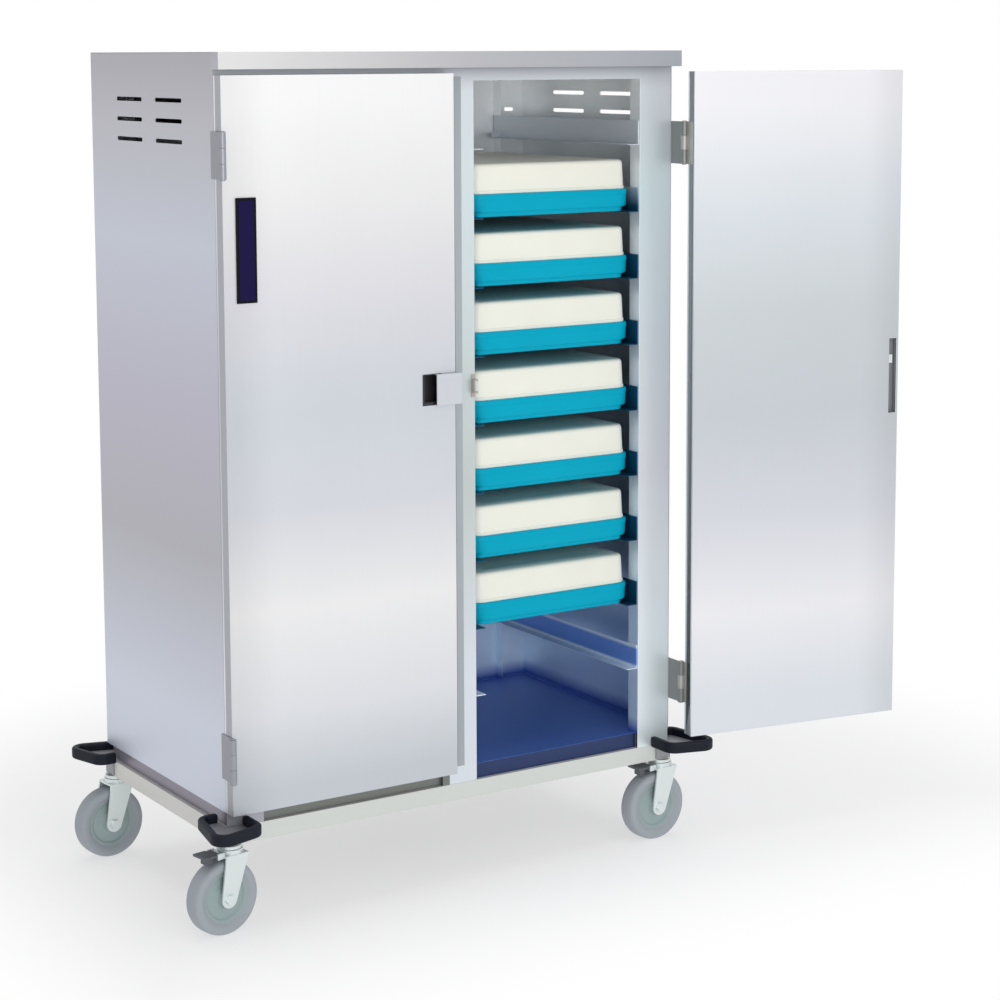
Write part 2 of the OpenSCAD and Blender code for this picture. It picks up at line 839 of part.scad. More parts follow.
module left_door_skin() { color(steel) on_left() door_skin(); }
module left_door_liner() { color(steel) on_left() door_liner(); }
module left_door_seal() { color(dark_steel) on_left() door_seal(); }
module left_door_leaves() { color(zinc) on_left() door_leaves(); }
module left_latch_housing() { color(black) on_left() latch_housing(); }
module left_latch_paddle() { color(steel) on_left() latch_paddle(); }
module left_latch_bolt() { color(zinc) on_left() latch_bolt(); }
module right_door_skin() { color(steel) on_right() door_skin(); }
module right_door_liner() { color(steel) on_right() door_liner(); }
module right_door_seal() { color(dark_steel) on_right() door_seal(); }
module right_door_leaves() { color(zinc) on_right() door_leaves(); }
module right_latch_housing() { color(black) on_right() latch_housing(); }
module right_latch_paddle() { color(steel) on_right() latch_paddle(); }
module right_latch_bolt() { color(zinc) on_right() latch_bolt(); }

module plate_holder() {
    x1 = door_x1 - holder_in;
    z0 = door_z1 - holder_top - holder_h;
    color(black) on_left() block([x1 - holder_w, x1], [-holder_t, 0], [z0, z0 + holder_h]);
}

// ---- casters, drawn with the swivel axis on Z and the axle behind it on -X ----

module at_pivot(p) {
    place() translate([p[0], p[1], 0]) rotate([0, 0, p[2]]) children();
}

module caster_stems() {
    head_z = crown_z - gap;
    color(zinc) for (p = PIVOTS) at_pivot(p) {
        translate([0, 0, head_z - stem_head_t]) cylinder(r = stem_head_r, h = stem_head_t);
        translate([0, 0, head_z - eps]) cylinder(r = stem_r, h = caster_h + stem_up - head_z + eps);
        translate([0, 0, race_z + gap]) cylinder(r = race_r, h = race_top - race_z - gap);
        translate([0, 0, caster_h + tube_wall]) cylinder(r = nut_r, h = nut_h);
    }
}

// Where the line from point p touches the circle of radius r about c, on side s
function touch(p, c, r, s) =
    let (d = norm(p - c), a = atan2(p[1] - c[1], p[0] - c[0]) + s * acos(r / d))
    c + r * [cos(a), sin(a)];

// A fork leg between y0 and y1: wide at the crown, round at the axle
module fork_leg(y0, y1) {
    c = [-trail, wheel_r];
    r = fork_hub / 2;
    p0 = [-crown_l / 2, crown_top];
    p1 = [crown_l / 2, crown_top];
    translate([0, y1, 0]) rotate([90, 0, 0]) linear_extrude(y1 - y0) {
        polygon([p0, touch(p0, c, r, 1), c, touch(p1, c, r, -1), p1]);
        translate(c) circle(r);
    }
}

module fork(braked) {
    color(zinc) difference() {
        union() {
            fork_leg(leg_in, leg_out);
            fork_leg(-leg_out, -leg_in);
            block([-crown_l / 2, crown_l / 2], [-leg_out, leg_out], [crown_z, crown_top]);
            translate([0, 0, crown_top]) cylinder(r = housing_r, h = race_z - crown_top);
            if (braked) for (s = [-1, 1])
                block([pedal_x - arm_end, -crown_l / 2 + cut],
                      s > 0 ? [arm_y0, arm_y1] : [-arm_y1, -arm_y0], [crown_z, pedal_z + arm_end]);
        }
        translate([0, 0, crown_z - cut]) cylinder(r = stem_r + fit, h = race_z - crown_z + 2 * cut);
        translate([-trail, leg_out + cut, wheel_r]) rotate([90, 0, 0])
            cylinder(r = axle_r + fit, h = 2 * (leg_out + cut));
        if (braked) translate([pedal_x, arm_y1 + cut, pedal_z]) rotate([90, 0, 0])
            cylinder(r = pedal_pin + fit, h = 2 * (arm_y1 + cut));
    }
    if (braked) color(zinc) translate([pedal_x, arm_y1, pedal_z]) rotate([90, 0, 0])
        cylinder(r = pedal_pin, h = 2 * arm_y1);
}

module wheel() {
    color([0.62, 0.63, 0.66]) translate([-trail, 0, wheel_r]) rotate([90, 0, 0]) rotate_extrude() {
        translate([axle_r + fit, -hub_half]) square([hub_wall, 2 * hub_half]);
        translate([axle_r + hub_wall / 2, -web_t / 2])
            square([wheel_r - axle_r - (hub_wall + rim_t) / 2, web_t]);
        translate([wheel_r - rim_t, -wheel_w / 2]) square([rim_t - tread_r, wheel_w]);
        translate([wheel_r - rim_t, -wheel_w / 2 + tread_r]) square([rim_t, wheel_w - 2 * tread_r]);
        for (s = [-1, 1])
            translate([wheel_r - tread_r, s * (wheel_w / 2 - tread_r)]) circle(tread_r);
    }
}

module axle() {
    color(zinc) translate([-trail, 0, wheel_r]) rotate([90, 0, 0]) {
        cylinder(r = axle_r, h = 2 * leg_out, center = true);
        for (s = [-1, 1]) translate([0, 0, s * (leg_out + axle_head / 2)])
            cylinder(r = axle_head_r, h = axle_head, center = true, $fn = 6);
    }
}

module brake_pedal() {
    hub = arm_y0 - gap;
    color(black) difference() {
        union() {
            translate([pedal_x, hub, pedal_z]) rotate([90, 0, 0]) cylinder(r = pedal_hub, h = 2 * hub);
            block([pedal_x - neck_l, pedal_x], [-hub, hub], [pedal_z + pedal_gap, pedal_z + pedal_hub]);
            block([pedal_x - pedal_l, pedal_x - neck_l + cut], [-pedal_w / 2, pedal_w / 2],
                  [pedal_z + pedal_gap, pedal_z + pedal_hub]);
            block([pedal_x - shoe_x - shoe_l, pedal_x - shoe_x], [-shoe_w / 2, shoe_w / 2],
                  [pedal_z - shoe_h, pedal_z + cut]);
        }
        translate([pedal_x, hub + cut, pedal_z]) rotate([90, 0, 0])
            cylinder(r = pedal_pin + fit, h = 2 * (hub + cut));
    }
}

// ---- meal trays ----

function tray_z(i) = body_z + rail_first + (empty_levels + i - 1) * rail_pitch + tray_seat;

module at_tray(i) {
    place() translate([bay_mid, frame_y + tray_front + tray_l / 2, tray_z(i)]) children();
}

module tray_base(i) {
    color([0, 0.65, 0.72]) at_tray(i) {
        linear_extrude(foot_h) round_rect(tray_w - 2 * foot_in, tray_l - 2 * foot_in, tray_r - foot_in);
        translate([0, 0, foot_h]) linear_extrude(tray_h - foot_h) round_rect(tray_w, tray_l, tray_r);
    }
}

module tray_lid(i) {
    color([0.96, 0.94, 0.87]) at_tray(i) translate([0, 0, tray_h])
        linear_extrude(lid_h) round_rect(tray_w - 2 * lid_in, tray_l - 2 * lid_in, tray_r - lid_in);
}

base_frame();
floor_pan();
left_side_panel();
right_side_panel();
back_panel();
top_cap();
centre_partition();
front_frame();
rear_uprights();
left_bay_rails();
right_bay_rails();
corner_plates();
corner_bumpers();
hinge_frame_leaves();
hinge_pins();
latch_keepers();
caster_stems();
left_door_skin();
left_door_liner();
left_door_seal();
left_door_leaves();
left_latch_housing();
left_latch_paddle();
left_latch_bolt();
plate_holder();
right_door_skin();
right_door_liner();
right_door_seal();
right_door_leaves();
right_latch_housing();
right_latch_paddle();
right_latch_bolt();
for (i = [0:3]) {
    at_pivot(PIVOTS[i]) fork(i < 2);
    at_pivot(PIVOTS[i]) wheel();
    at_pivot(PIVOTS[i]) axle();
}
for (i = [0, 1])
    at_pivot(PIVOTS[i]) brake_pedal();
for (i = TRAYS) {
    tray_base(i);
    tray_lid(i);
}
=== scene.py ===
"""Looks of the enclosed meal tray cart: steel cabinet, hinged doors, meal trays, swivel casters.

Metres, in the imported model's frame: X runs across the front, Y from the doors to the back, Z is up.
"""
import json
import math

import bmesh
import bpy
import numpy as np
from mathutils import Matrix, Vector

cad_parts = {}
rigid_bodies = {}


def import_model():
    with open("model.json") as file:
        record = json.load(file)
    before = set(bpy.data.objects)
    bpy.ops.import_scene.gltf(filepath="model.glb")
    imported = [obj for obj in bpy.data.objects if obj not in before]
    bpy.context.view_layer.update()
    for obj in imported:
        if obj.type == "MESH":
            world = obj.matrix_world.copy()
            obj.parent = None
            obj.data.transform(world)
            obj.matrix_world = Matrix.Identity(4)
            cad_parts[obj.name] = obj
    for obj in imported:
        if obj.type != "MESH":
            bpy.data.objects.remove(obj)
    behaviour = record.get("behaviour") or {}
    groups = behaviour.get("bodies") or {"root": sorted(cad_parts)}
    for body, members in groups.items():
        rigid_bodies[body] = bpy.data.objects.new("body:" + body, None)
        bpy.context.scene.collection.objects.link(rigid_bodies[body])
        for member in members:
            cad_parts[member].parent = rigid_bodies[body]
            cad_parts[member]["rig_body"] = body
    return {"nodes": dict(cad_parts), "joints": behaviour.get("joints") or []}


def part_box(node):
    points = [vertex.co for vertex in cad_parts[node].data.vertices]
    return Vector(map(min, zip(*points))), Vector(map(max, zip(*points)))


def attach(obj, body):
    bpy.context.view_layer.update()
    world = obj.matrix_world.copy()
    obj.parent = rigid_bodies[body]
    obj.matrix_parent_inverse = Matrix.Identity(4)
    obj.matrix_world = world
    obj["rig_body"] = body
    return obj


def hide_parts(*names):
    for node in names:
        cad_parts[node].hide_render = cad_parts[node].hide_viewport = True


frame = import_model()
nodes = frame["nodes"]
joints = {joint["name"]: joint for joint in frame["joints"]}
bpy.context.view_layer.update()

MM = 0.001
SIDES = ("left", "right")
CASTERS = ("front_left", "front_right", "back_left", "back_right")
BRAKED_CASTERS = CASTERS[:2]
TRAYS = range(1, 8)


# ---- camera, set where the photograph was taken from ----

CAMERA_AT = (-2.3109, -3.6548, 1.4546)
CAMERA_YAW = math.radians(32.653)  # from +Y towards +X
CAMERA_PITCH = math.radians(7.137)  # below the horizon
CAMERA_ROLL = math.radians(0.205)
CAMERA_LENS = 85.58  # millimetres, as the sensor's width is
CAMERA_SENSOR = 36
CAMERA_SHIFT = -0.15


def make_camera():
    """Looks along the unit vector of its yaw and pitch; its roll turns right and up about it."""
    flat = math.cos(CAMERA_PITCH)
    ahead = Vector((math.sin(CAMERA_YAW) * flat, math.cos(CAMERA_YAW) * flat,
                    -math.sin(CAMERA_PITCH)))
    level = Vector((math.cos(CAMERA_YAW), -math.sin(CAMERA_YAW), 0))
    above = level.cross(ahead)
    right = math.cos(CAMERA_ROLL) * level - math.sin(CAMERA_ROLL) * above
    up = math.sin(CAMERA_ROLL) * level + math.cos(CAMERA_ROLL) * above
    turned = Matrix((right, up, -ahead)).transposed().to_4x4()
    data = bpy.data.cameras.new("camera")
    data.lens = CAMERA_LENS
    data.sensor_width = CAMERA_SENSOR
    data.shift_y = CAMERA_SHIFT
    camera = bpy.data.objects.new("camera", data)
    camera.matrix_world = Matrix.Translation(CAMERA_AT) @ turned
    bpy.context.scene.collection.objects.link(camera)
    bpy.context.scene.camera = camera


# ---- shader maths ----

def tone(red, green, blue):
    """Linear colour of screen levels: each is ((level / 255 + 0.055) / 1.055) ** 2.4."""
    return tuple(((level / 255 + 0.055) / 1.055) ** 2.4 for level in (red, green, blue))


def socket_name(words):
    """The shader's own name for a keyword, such as Base Color for base_color."""
    return words.replace("_", " ").title().replace("Ior", "IOR")


class Value:
    """A number or colour in a shader; Python's operators on it add Math nodes."""

    def __init__(self, shader, socket):
        self.shader = shader
        self.socket = socket

    def math(self, operation, first, second):
        return self.shader.node("Math", {"operation": operation}, {0: first, 1: second})

    def __add__(self, other):
        return self.math("ADD", self, other)

    def __sub__(self, other):
        return self.math("SUBTRACT", self, other)

    def __rsub__(self, other):
        return self.math("SUBTRACT", other, self)

    def __mul__(self, other):
        return self.math("MULTIPLY", self, other)

    def __truediv__(self, other):
        return self.math("DIVIDE", self, other)

    def __rtruediv__(self, other):
        return self.math("DIVIDE", other, self)

    def __gt__(self, other):
        return self.math("GREATER_THAN", self, other)

    def __lt__(self, other):
        return self.math("LESS_THAN", self, other)

    __radd__ = __add__
    __rmul__ = __mul__

    def larger(self, other):
        """The larger of two numbers, which joins two masks."""
        return self.math("MAXIMUM", self, other)

    def between(self, start, end):
        """A smooth step from 0 at start to 1 at end; start may be the larger of the two."""
        low, high = min(start, end), max(start, end)
        span = {"Value": self, "From Min": low, "From Max": high,
                "To Min": float(start > end), "To Max": float(start < end)}
        return self.shader.node("MapRange", {"interpolation_type": "SMOOTHSTEP"}, span)


class Shader:
    """The nodes of one material or world, added one by one."""

    def __init__(self, owner):
        owner.use_nodes = True
        self.tree = owner.node_tree

    def node(self, kind, settings=(), inputs=(), output=0):
        """Adds a node, sets its settings, then its inputs as links or values; gives an output."""
        made = self.tree.nodes.new("ShaderNode" + kind)
        for key, setting in dict(settings).items():
            if key == "stops":
                elements = made.color_ramp.elements
                while len(elements) < len(setting):
                    elements.new(0.5)
                for element, (position, colour) in zip(elements, setting):
                    element.position = position
                    element.color = (*colour, 1)
            else:
                setattr(made, key, setting)
        for key, given in dict(inputs).items():
            if isinstance(given, Value):
                self.join(given, made.inputs[key])
            else:
                made.inputs[key].default_value = given
        return Value(self, made.outputs[output])

    def join(self, value, socket):
        self.tree.links.new(value.socket, socket)


class Finish(Shader):
    """One material: a principled shader, its fixed inputs, and the nodes that vary the others."""

    def __init__(self, name, **fixed):
        self.material = bpy.data.materials.new(name)
        super().__init__(self.material)
        self.principled = self.tree.nodes["Principled BSDF"]
        for words, given in fixed.items():
            self.principled.inputs[socket_name(words)].default_value = given
        self.place = self.node("TexCoord", output="Object")

    def axis(self, name):
        return self.node("SeparateXYZ", inputs={0: self.place}, output=name)

    def noise(self, scale, detail, stretch=None):
        """Noise from 0 to 1 about 0.5; stretch packs it closer along each axis."""
        place = self.place
        if stretch:
            place = self.node("VectorMath", {"operation": "MULTIPLY"}, {0: place, 1: stretch})
        return self.node("TexNoise", inputs={"Vector": place, "Scale": scale, "Detail": detail})

    def mix(self, share, first, second):
        """first where share is 0 and second where it is 1, for colours."""
        inputs = {0: share}
        for index, colour in ((6, first), (7, second)):
            inputs[index] = colour if isinstance(colour, Value) else (*colour, 1)
        return self.node("Mix", {"data_type": "RGBA"}, inputs, output=2)

    def shade(self, colour, amount):
        """The colour times a number that varies about 1."""
        grey = self.node("CombineXYZ", inputs={0: amount, 1: amount, 2: amount})
        return self.node("VectorMath", {"operation": "MULTIPLY"}, {0: colour, 1: grey})

    def ramp(self, along, stops):
        """Colour at a distance along an axis; each stop is (metres, screen levels)."""
        low, high = stops[0][0], stops[-1][0]
        placed = [((at - low) / (high - low), tone(*levels)) for at, levels in stops]
        return self.node("ValToRGB", {"stops": placed}, {0: (along - low) / (high - low)})

    def bump(self, height, strength, distance):
        inputs = {"Height": height, "Strength": strength, "Distance": distance}
        return self.node("Bump", inputs=inputs)

    def feed(self, **inputs):
        for words, value in inputs.items():
            self.join(value, self.principled.inputs[socket_name(words)])
        return self.material


# ---- where the finishes change ----

LEFT, FRONT, BODY_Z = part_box("left_side_panel")[0]
RIGHT, BACK, DECK_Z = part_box("right_side_panel")[1]
BAY_LOW, BAY_HIGH = (corner.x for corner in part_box("right_bay_rails"))
HINGE_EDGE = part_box("left_door_skin")[0].x
DOOR_END, DOOR_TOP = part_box("left_door_skin")[1].x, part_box("left_door_skin")[1].z
LINER_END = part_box("right_door_liner")[1].x
CAP_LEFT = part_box("top_cap")[0].x

SKIN = 0.5 * MM  # a face's own tone reaches this deep
BAY_SPLIT = BAY_LOW - 40 * MM  # between the two bays, by the partition
POST_SPLIT = 0.1  # between the centre and the right post
# The painted shade under the left door turns lighter from here to the corner.
CORNER_END = -0.5  # end of the lighter stretch under the left door, from the corner
CORNER_WIDTH = 12 * MM


# ---- painted reflections and shade on the steel: (metres, screen levels), up from the floor or from left to right ----

# Painted reflections and shade on the outer door sheets: lighter and darker bands by height.
DOOR_PAINTED_LIGHT = [(0.24, (190, 196, 202)), (0.37, (215, 217, 222)), (0.54, (228, 228, 229)),
              (0.71, (205, 207, 214)), (0.87, (197, 203, 209)), (1.04, (209, 209, 215)),
              (1.21, (222, 222, 223)), (1.38, (231, 231, 232))]
# Painted reflections and shade on the inner door sheets: lighter and darker bands by height.
LINER_PAINTED_LIGHT = [(0.27, (214, 219, 225)), (0.43, (229, 229, 233)), (0.62, (206, 208, 216)),
               (0.80, (192, 198, 203)), (0.99, (196, 202, 206)), (1.17, (209, 215, 220)),
               (1.36, (228, 228, 232))]
# Painted reflections and shade on the side panels by height, darker than the doors because the sides
# face away from the light.
SIDE_PAINTED_LIGHT = [(0.34, (202, 208, 222)), (0.63, (177, 176, 184)), (0.89, (185, 183, 198)),
              (1.14, (196, 201, 214)), (1.34, (186, 186, 193)), (1.44, (172, 172, 179))]
# Painted shadow under the top cap's overhang, darkest at the top of the header.
HEADER_PAINTED_SHADOW = [(1.39, (206, 212, 218)), (1.41, (190, 195, 201)), (1.43, (160, 163, 170))]
# Painted reflections and shade on the posts by height; the right post is painted paler.
POST_PAINTED_LIGHT = [(0.37, (212, 219, 226)), (0.70, (190, 198, 196)), (1.20, (204, 216, 220)),
              *HEADER_PAINTED_SHADOW]
RIGHT_POST_PAINTED_LIGHT = [(0.37, (228, 238, 242)), (0.70, (215, 217, 224)), (1.20, (203, 218, 222)),
                    *HEADER_PAINTED_SHADOW]
# Painted reflections and shade across the cap's front lip, and painted shade on the rest of the cap,
# as on the sides.
CAP_LIP_PAINTED_LIGHT = [(-0.60, (208, 208, 208)), (-0.18, (177, 177, 182)), (0.24, (161, 165, 172))]
CAP_PAINTED_SHADE = [(1.40, (186, 186, 193)), (1.455, (172, 172, 179))]
# Inside the cabinet: a painted blue reflection of the teal trays in the right bay, with painted shade
# deepest at its floor; the left bay is grey, with painted shade low down.
PAINTED_BAY_REFLECTION = [(0.209, (78, 112, 190)), (0.235, (222, 240, 255)), (0.50, (222, 238, 253)),
             (0.90, (220, 230, 243)), (1.42, (250, 252, 253))]
PAINTED_BAY_SHADE = [(0.21, (150, 155, 165)), (1.42, (200, 203, 208))]
# Painted highlights, pale, on the lips and flange tops of the two lowest rails, with blue between;
# dark navy painted shade and tray reflection beside the trays; pale at the top.
RAIL_PAINTED_LIGHT = [(0.20, (235, 244, 255)), (0.333, (240, 248, 255)), (0.337, (110, 150, 225)),
              (0.366, (120, 158, 230)), (0.370, (240, 248, 255)), (0.44, (240, 248, 255)),
              (0.449, (14, 66, 96)), (1.18, (16, 74, 104)), (1.23, (205, 212, 220))]
# Painted shade on the sill and the post feet under the left door, and a lighter painted shade near
# its left corner.
SHADE_UNDER_DOOR = tone(118, 122, 118)
SHADE_UNDER_CORNER = tone(165, 165, 175)
# Painted shade on the floor pan's edge: dark blue under the open bay, and grey-violet at the left
# corner.
SHADE_UNDER_BAY = tone(34, 52, 96)
FLOOR_CORNER_SHADE = tone(138, 134, 147)
# Painted shade on the left door's hinge-side edge, which faces away from the light.
HINGE_SIDE_SHADE = tone(166, 170, 177)
# The base tube's front and side faces, each in its own painted tone of light and shade.
TUBE_FRONT = tone(206, 210, 206)
TUBE_SIDE = tone(210, 209, 207)


# ---- steel finishes ----

BRUSH = {"X": (4, 260, 260), "Y": (260, 4, 260), "Z": (260, 260, 4)}  # lines run along the key
EDGE_SHADE = 0.12  # how much darker painted shade makes a sheet at its shaded edge


def inner_faces(finish):
    """1 deeper than the skin of the cabinet's left, right, front, back and top faces, else 0."""
    x, y, z = (finish.axis(name) for name in "XYZ")
    across = (x > LEFT + SKIN) * (x < RIGHT - SKIN)
    return across * (y > FRONT + SKIN) * (y < BACK - SKIN) * (z < DECK_Z + SKIN)


def painted_bay_light(finish):
    """Inside of the cabinet, painted light: a painted blue reflection of the teal trays in the right
    bay, with painted shade deepest at its floor, and grey in the left, with painted shade towards its
    floor.
    """
    z = finish.axis("Z")
    return finish.mix(finish.axis("X") > BAY_SPLIT,
                      finish.ramp(z, PAINTED_BAY_SHADE), finish.ramp(z, PAINTED_BAY_REFLECTION))


def brushed(finish, colour, along="Z", rough=0.38):
    """Satin sheet: fine brush lines along one axis, faint hand marks in its colour and gloss.

    Both noises average 0.5, so the colour keeps its mean.
    """
    lines = finish.noise(scale=3.0, detail=3.0, stretch=BRUSH[along])
    marks = finish.noise(scale=5.0, detail=4.0)
    return finish.feed(base_color=finish.shade(colour, 0.97 + lines * 0.04 + marks * 0.02),
                       roughness=rough - 0.05 + lines * 0.06 + marks * 0.06,
                       normal=finish.bump(lines, strength=0.06, distance=0.4 * MM))


def cabinet_sheet(finish, outer, along="Z"):
    """A brushed sheet with the given colour outside, and the bays' painted light and shade on its
    inner faces.
    """
    return brushed(finish, finish.mix(inner_faces(finish), outer, painted_bay_light(finish)), along)


def side_steel():
    finish = Finish("side_steel", metallic=0.5)
    # The side panels take a ramp of painted reflections and shade by height.
    return cabinet_sheet(finish, finish.ramp(finish.axis("Z"), SIDE_PAINTED_LIGHT), "Y")


def door_steel():
    """Outer door sheets in painted reflections and shade by height, with painted shade towards the
    left door's hinges, darkest on that edge.
    """
    finish = Finish("door_steel", metallic=0.5)
    x = finish.axis("X")
    lit = x.between(HINGE_EDGE, HINGE_EDGE + 100 * MM)
    outer = finish.shade(finish.ramp(finish.axis("Z"), DOOR_PAINTED_LIGHT), 1 - EDGE_SHADE + lit * EDGE_SHADE)
    return cabinet_sheet(finish, finish.mix(x < HINGE_EDGE + SKIN, outer, HINGE_SIDE_SHADE))


def liner_steel():
    """Inner door sheets in painted reflections and shade by height, with painted shade towards the
    open right door's free edge.
    """
    finish = Finish("liner_steel", metallic=0.5)
    lit = finish.axis("X").between(LINER_END, LINER_END - 90 * MM)
    outer = finish.shade(finish.ramp(finish.axis("Z"), LINER_PAINTED_LIGHT), 1 - EDGE_SHADE + lit * EDGE_SHADE)
    return cabinet_sheet(finish, outer)


def post_steel():
    """Posts and header in painted reflections and shade by height, the right post painted paler and
    the header in painted shadow under the cap; painted shade under the left door.
    """
    finish = Finish("post_steel", metallic=0.5)
    z = finish.axis("Z")
    x = finish.axis("X")
    posts = finish.mix(x > POST_SPLIT, finish.ramp(z, POST_PAINTED_LIGHT),
                       finish.ramp(z, RIGHT_POST_PAINTED_LIGHT))
    under_door = (z < BODY_Z) * (x < DOOR_END)
    dark = finish.mix(x > CORNER_END, SHADE_UNDER_CORNER, SHADE_UNDER_DOOR)
    return cabinet_sheet(finish, finish.mix(under_door, posts, dark))


def cap_steel():
    """Front lip in painted reflections and shade across the front, the rest in painted shade as the
    sides are.
    """
    finish = Finish("cap_steel", metallic=0.5)
    x = finish.axis("X")
    front = (finish.axis("Y") < FRONT - SKIN) * (x > CAP_LEFT + SKIN)
    outer = finish.mix(front, finish.ramp(finish.axis("Z"), CAP_PAINTED_SHADE),
                       finish.ramp(x, CAP_LIP_PAINTED_LIGHT))
    return cabinet_sheet(finish, outer, "X")


def floor_steel():
    """Floor of the bays on top, in the bays' painted light; its edge in painted shade, dark grey
    under the doors, dark blue under the open bay and grey-violet at the left corner.
    """
    finish = Finish("floor_steel", metallic=0.4)
    x, z = finish.axis("X"), finish.axis("Z")
    opening = (x > BAY_LOW) * (x < BAY_HIGH) * (finish.axis("Y") < 0)
    edge = finish.mix(opening, SHADE_UNDER_DOOR, SHADE_UNDER_BAY)
    edge = finish.mix(x < LEFT + CORNER_WIDTH, edge, FLOOR_CORNER_SHADE)
    return brushed(finish, finish.mix(z > BODY_Z - SKIN, edge, painted_bay_light(finish)), "X")


def base_steel():
    """Square tube in painted light and shade, its front and side faces each in their own tone, the
    front a little greener.
    """
    finish = Finish("base_steel", metallic=0.3)
    front = finish.axis("Y") < FRONT + SKIN
    return brushed(finish, finish.mix(front, TUBE_SIDE, TUBE_FRONT), "X", 0.45)


def bay_steel(name, stops):
    """Rails, uprights and partition, all inside the cabinet, coloured by a ramp of painted light and
    shade by height.
    """
    finish = Finish(name, metallic=0.4)
    return brushed(finish, finish.ramp(finish.axis("Z"), stops), "Y")


def plain_steel(name, levels, rough, metal=0.5):
    """Small fittings, in one colour all over."""
    return brushed(Finish(name, metallic=metal), tone(*levels), "Z", rough)


def hinge_steel(name, left, right):
    """Hinge parts in painted light and shade: one tone at the left door and another at the right."""
    finish = Finish(name, metallic=0.5)
    sides = finish.mix(finish.axis("X") > 0, tone(*left), tone(*right))
    return brushed(finish, sides, "Z", 0.4)


# ---- plastic and rubber finishes ----

def plastic(name, levels, rough, specular=0.5):
    """Moulded plastic or rubber: a fine grain, a faint change of tone, duller in places."""
    finish = Finish(name, specular_ior_level=specular)
    fine = finish.noise(scale=900.0, detail=2.0)
    slow = finish.noise(scale=14.0, detail=3.0)
    return finish.feed(base_color=finish.shade(tone(*levels), 0.94 + slow * 0.09 + fine * 0.03),
                       roughness=rough - 0.05 + slow * 0.12,
                       normal=finish.bump(fine, strength=0.15, distance=0.2 * MM))


def holder_plastic():
    """Plate holder: a black rim round a navy field that lies a little lower."""
    finish = Finish("holder_plastic", specular_ior_level=0.1)
    low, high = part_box("plate_holder")
    rim, slope = 4 * MM, 1 * MM
    x, z = finish.axis("X"), finish.axis("Z")
    field = (x.between(low.x + rim, low.x + rim + slope)
             * x.between(high.x - rim, high.x - rim - slope)
             * z.between(low.z + rim, low.z + rim + slope)
             * z.between(high.z - rim, high.z - rim - slope))
    slow = finish.noise(scale=30.0, detail=2.0)
    colour = finish.mix(field, tone(8, 8, 12), tone(18, 10, 62))
    return finish.feed(base_color=finish.shade(colour, 0.9 + slow * 0.2),
                       roughness=0.45 + slow * 0.1,
                       normal=finish.bump(1 - field, strength=0.6, distance=2 * MM))


# ---- shapes ----

# Degrees: an edge that turns further stays sharp, or gets its radius from a bevel.
MOULDED_SHARP = 35
TURNED_SHARP = 50
COPY_SHARP = 32
COPY_BEVELLED = 35
TURN_STEPS = 72
CORNER_STEPS = 7
LEAST_RADIUS = 0.6 * MM


def grid_faces(rows, cols, closed):
    """Quads of a grid whose columns run round; closed joins its last row to its first."""
    i = np.arange(rows if closed else rows - 1)[:, None]
    j = np.arange(cols)[None, :]
    after_i, after_j = (i + 1) % rows, (j + 1) % cols
    quads = [i * cols + j, i * cols + after_j, after_i * cols + after_j, after_i * cols + j]
    return np.stack(quads, -1).reshape(-1, 4).tolist()


def dress(name, mesh, body, finish, sharp):
    """Makes a mesh a piece of a body, smooth but for its sharp edges, in one finish."""
    mesh.shade_smooth()
    mesh.set_sharp_from_angle(angle=math.radians(sharp))
    mesh.materials.clear()
    mesh.materials.append(finish)
    piece = bpy.data.objects.new(name, mesh)
    bpy.context.scene.collection.objects.link(piece)
    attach(piece, body)
    return piece


def add_piece(name, points, faces, body, finish, sharp):
    """Puts points and faces in a new object at the origin, with its faces turned outwards."""
    mesh = bpy.data.meshes.new(name)
    mesh.from_pydata(np.reshape(points, (-1, 3)).tolist(), [], faces)
    shape = bmesh.new()
    shape.from_mesh(mesh)
    bmesh.ops.remove_doubles(shape, verts=shape.verts, dist=1e-6)
    bmesh.ops.recalc_face_normals(shape, faces=shape.faces)
    shape.to_mesh(mesh)
    shape.free()
    return dress(name, mesh, body, finish, sharp)


def softened(node, finish, edge, steps=2):
    """A merged copy of a CAD piece with a small radius on its edges, which stands for it."""
    mesh = nodes[node].data.copy()
    shape = bmesh.new()
    shape.from_mesh(mesh)
    bmesh.ops.remove_doubles(shape, verts=shape.verts, dist=0.02 * MM)
    bmesh.ops.dissolve_limit(shape, angle_limit=math.radians(0.5),
                             verts=shape.verts, edges=shape.edges)
    shape.to_mesh(mesh)
    shape.free()
    piece = dress(node + "_finished", mesh, nodes[node]["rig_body"], finish, COPY_SHARP)
    bevel = piece.modifiers.new("edge", "BEVEL")
    bevel.width = edge
    bevel.segments = steps
    bevel.limit_method = "ANGLE"
    bevel.angle_limit = math.radians(COPY_BEVELLED)
    normals = piece.modifiers.new("normals", "WEIGHTED_NORMAL")
    normals.keep_sharp = True
    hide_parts(node)


def lathe(profile, centre, axle):
    """A closed profile of (radius, height) turned round a level axle.

    A point is centre + height * axle + radius * (cosine * ahead + sine * up).
    """
    profile = np.array(profile, float)[:, :, None, None]
    axle = np.array(axle, float)
    ahead = np.cross(axle, (0.0, 0.0, 1.0))
    ahead = ahead / np.linalg.norm(ahead)
    up = np.cross(axle, ahead)
    turn = np.linspace(0, 2 * math.pi, TURN_STEPS, endpoint=False)[:, None]
    circle = np.cos(turn) * ahead + np.sin(turn) * up
    points = np.array(centre) + profile[:, 1] * axle + profile[:, 0] * circle
    return points, grid_faces(len(profile), TURN_STEPS, True)


